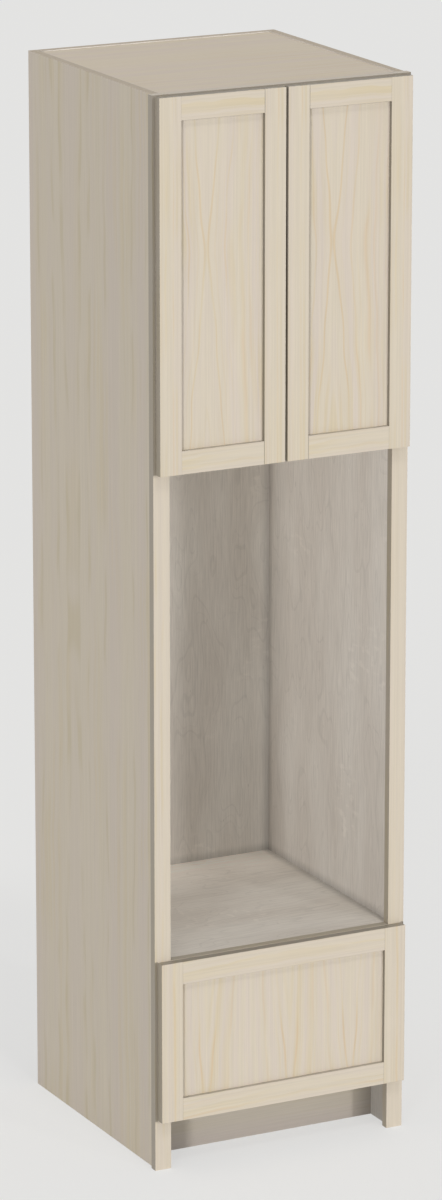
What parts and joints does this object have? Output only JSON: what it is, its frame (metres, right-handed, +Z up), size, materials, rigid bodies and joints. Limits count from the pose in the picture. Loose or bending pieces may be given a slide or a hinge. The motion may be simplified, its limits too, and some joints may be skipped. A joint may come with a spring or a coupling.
{
  "type": "tall oven housing cabinet",
  "caption": "Tall framed kitchen cabinet with an open built-in oven bay, shaker doors above and a wide shaker drawer below, standing on its sides and frame over a recessed toe board.",
  "frame": {"origin": "on the floor, under the middle of the bounding box of the closed unit", "axes": "+Z up, doors and drawer front face -Y, +X to the right of a viewer in front of the unit"},
  "size_m": [0.6096, 0.6306, 2.3622],
  "materials": {
    "front_maple": "pale natural maple, fine satin lacquer",
    "frame_maple": "pale natural maple, fine satin lacquer",
    "side_veneer": "maple veneer with vertical grain, satin lacquer",
    "case_ply": "grey-beige plywood with a clear matt finish",
    "box_maple": "solid maple, clear satin lacquer",
    "nickel": "bright nickel plate",
    "slide_steel": "clear zinc plate",
    "zinc": "zinc plate",
    "bumper": "clear soft pad"
  },
  "bodies": {
    "cabinet": {"side_left": "side_veneer", "side_right": "side_veneer", "top_panel": "case_ply", "upper_deck": "case_ply", "oven_deck": "case_ply", "bottom_panel": "case_ply", "back_panel": "case_ply", "hang_rails": "case_ply", "toe_board": "frame_maple", "toe_blocks": "case_ply", "oven_cleats": "case_ply", "stile_left": "frame_maple", "stile_right": "frame_maple", "rail_top": "frame_maple", "rail_middle": "frame_maple", "rail_drawer": "frame_maple", "rail_bottom": "frame_maple", "shelf_lower": "case_ply", "shelf_upper": "case_ply", "shelf_pins": "zinc", "hinge_arms": "nickel", "hinge_arm_pins": "zinc", "case_screws": "zinc", "slide_packers": "case_ply", "slide_fixed": "slide_steel"},
    "hinge_links_left": {"hinge_links_left": "nickel"},
    "hinge_links_right": {"hinge_links_right": "nickel"},
    "door_left": {"door_left_hinge_stile": "front_maple", "door_left_meeting_stile": "front_maple", "door_left_top_rail": "front_maple", "door_left_bottom_rail": "front_maple", "door_left_panel": "front_maple", "door_left_bumpers": "bumper", "hinge_cups_left": "nickel", "hinge_cup_pins_left": "zinc", "hinge_cup_screws_left": "zinc"},
    "door_right": {"door_right_hinge_stile": "front_maple", "door_right_meeting_stile": "front_maple", "door_right_top_rail": "front_maple", "door_right_bottom_rail": "front_maple", "door_right_panel": "front_maple", "door_right_bumpers": "bumper", "hinge_cups_right": "nickel", "hinge_cup_pins_right": "zinc", "hinge_cup_screws_right": "zinc"},
    "drawer": {"drawer_front_left_stile": "front_maple", "drawer_front_right_stile": "front_maple", "drawer_front_top_rail": "front_maple", "drawer_front_bottom_rail": "front_maple", "drawer_front_panel": "front_maple", "drawer_bumpers": "bumper", "drawer_side_left": "box_maple", "drawer_side_right": "box_maple", "drawer_box_front": "box_maple", "drawer_box_back": "box_maple", "drawer_bottom": "box_maple", "slide_inner": "slide_steel", "drawer_screws": "zinc"},
    "slide_middle_left": {"slide_middle_left": "slide_steel"},
    "slide_middle_right": {"slide_middle_right": "slide_steel"}
  },
  "joints": [
    {"name": "hinge_link_left_swing", "type": "hinge", "parent": "cabinet", "child": "hinge_links_left", "pos_m": [-0.26385, -0.29828, 1.95738], "axis": [0, 0, 1], "range_deg": [0, 23.1]},
    {"name": "door_left_swing", "type": "hinge", "parent": "hinge_links_left", "child": "door_left", "pos_m": [-0.28925, -0.30078, 1.95738], "axis": [0, 0, -1], "range_deg": [0, 128]},
    {"name": "hinge_link_right_swing", "type": "hinge", "parent": "cabinet", "child": "hinge_links_right", "pos_m": [0.26385, -0.29828, 1.95738], "axis": [0, 0, -1], "range_deg": [0, 23.1]},
    {"name": "door_right_swing", "type": "hinge", "parent": "hinge_links_right", "child": "door_right", "pos_m": [0.28925, -0.30078, 1.95738], "axis": [0, 0, 1], "range_deg": [0, 128]},
    {"name": "drawer_travel", "type": "slide", "parent": "cabinet", "child": "drawer", "axis": [0, -1, 0], "range_m": [0, 0.5334]},
    {"name": "slide_middle_left_travel", "type": "slide", "parent": "cabinet", "child": "slide_middle_left", "axis": [0, -1, 0], "range_m": [0, 0.2668]},
    {"name": "slide_middle_right_travel", "type": "slide", "parent": "cabinet", "child": "slide_middle_right", "axis": [0, -1, 0], "range_m": [0, 0.2668]}
  ],
  "couplings": [
    {"joint": "hinge_link_left_swing", "follows": "door_left_swing", "ratio": 0.18},
    {"joint": "hinge_link_right_swing", "follows": "door_right_swing", "ratio": 0.18},
    {"joint": "slide_middle_left_travel", "follows": "drawer_travel", "ratio": 0.5},
    {"joint": "slide_middle_right_travel", "follows": "drawer_travel", "ratio": 0.5}
  ]
}
